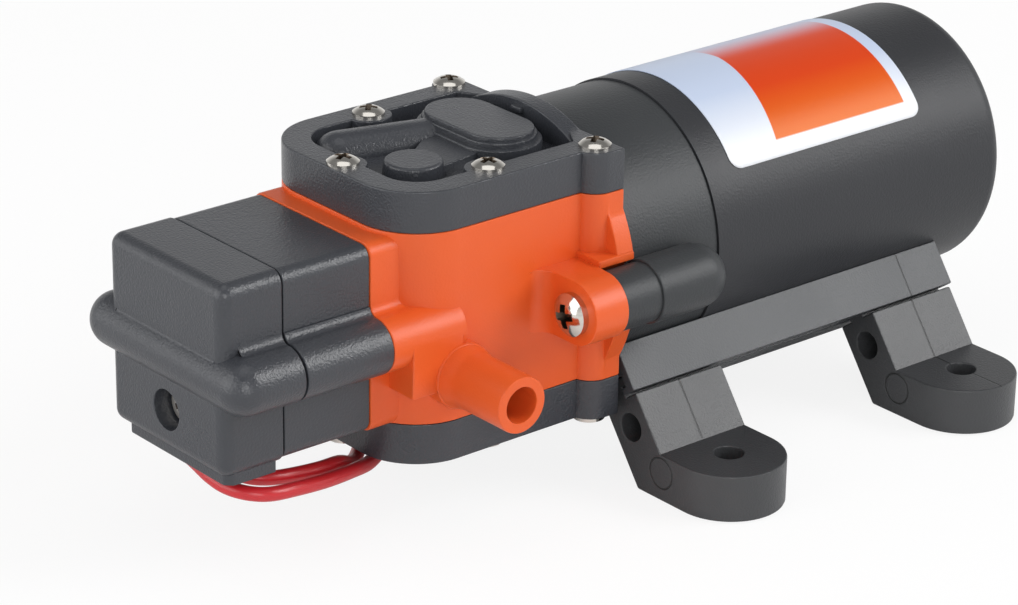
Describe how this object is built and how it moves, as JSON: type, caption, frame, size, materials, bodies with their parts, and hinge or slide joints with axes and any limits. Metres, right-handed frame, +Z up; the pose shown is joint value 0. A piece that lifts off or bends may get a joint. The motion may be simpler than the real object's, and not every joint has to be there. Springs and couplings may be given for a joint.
{
  "type": "caravan water pump",
  "caption": "Small electric diaphragm water pump with a pressure switch, two hose ports and a round motor in a cradle on rubber feet.",
  "frame": {"origin": "centre of the four foot holes, on the floor", "axes": "+X along the motor from the pressure switch to the motor's rear, +Z up, +Y across"},
  "size_m": [0.1654, 0.0946, 0.0623],
  "materials": {
    "orange_plastic": "moulded, satin",
    "black_plastic": "moulded, fine grain",
    "black_paint": "satin paint",
    "black_rubber": "moulded, matt",
    "nickel_steel": "nickel plated",
    "bright_steel": "ground",
    "silicon_steel": "stamped sheets",
    "copper": "bare copper",
    "carbon": "pressed carbon",
    "ferrite": "sintered",
    "white_acetal": "moulded",
    "label_film": "printed film",
    "red_pvc": "extruded"
  },
  "bodies": {
    "housing": {"pump_body": "orange_plastic", "top_cover": "black_plastic", "bottom_cover": "black_plastic", "top_cover_screws": "nickel_steel", "bottom_cover_screws": "nickel_steel", "top_valve_plate": "white_acetal", "bottom_valve_plate": "white_acetal", "inlet_valves": "black_rubber", "outlet_valves": "black_rubber", "top_diaphragm": "black_rubber", "bottom_diaphragm": "black_rubber", "front_bearing": "bright_steel", "rear_bearing": "bright_steel", "motor_adapter": "black_plastic", "motor_can": "black_paint", "magnets": "ferrite", "brush_card": "white_acetal", "brushes": "carbon", "brush_springs": "bright_steel", "motor_screws": "nickel_steel", "motor_label": "label_film", "cradle": "black_plastic", "cradle_screws": "nickel_steel", "front_left_foot": "black_rubber", "front_right_foot": "black_rubber", "rear_left_foot": "black_rubber", "rear_right_foot": "black_rubber", "switch_base": "black_plastic", "switch_cap": "black_plastic", "switch_cap_screw": "nickel_steel", "switch_base_screws": "nickel_steel", "switch_diaphragm": "black_rubber", "switch_spring": "bright_steel", "micro_switch": "black_plastic", "red_lead_outer": "red_pvc", "red_lead_inner": "red_pvc", "lead_grommets": "black_rubber"},
    "rotor": {"motor_shaft": "bright_steel", "armature_core": "silicon_steel", "armature_windings": "copper", "commutator": "copper", "eccentric": "bright_steel", "eccentric_bearing": "bright_steel"},
    "yoke_set": {"yoke": "white_acetal", "clamp_plates": "bright_steel", "clamp_screws": "bright_steel"},
    "plunger": {"switch_plunger": "white_acetal"},
    "button": {"micro_switch_button": "red_pvc"}
  },
  "joints": [
    {"name": "motor_turn", "type": "hinge", "parent": "housing", "child": "rotor", "pos_m": [0, 0, 0.0363], "axis": [1, 0, 0], "continuous": true},
    {"name": "yoke_stroke", "type": "slide", "parent": "housing", "child": "yoke_set", "axis": [0, 0, 1], "range_m": [-0.001, 0.001], "stiffness_N_per_m": 400, "deforming": ["top_diaphragm", "bottom_diaphragm"]},
    {"name": "plunger_travel", "type": "slide", "parent": "housing", "child": "plunger", "axis": [-1, 0, 0], "range_m": [0, 0.0008], "stiffness_N_per_m": 1500, "deforming": ["switch_spring", "switch_diaphragm"]},
    {"name": "button_travel", "type": "slide", "parent": "housing", "child": "button", "axis": [-1, 0, 0], "range_m": [0, 0.0008]}
  ],
  "couplings": [
    {"joint": "button_travel", "follows": "plunger_travel", "ratio": 1}
  ]
}
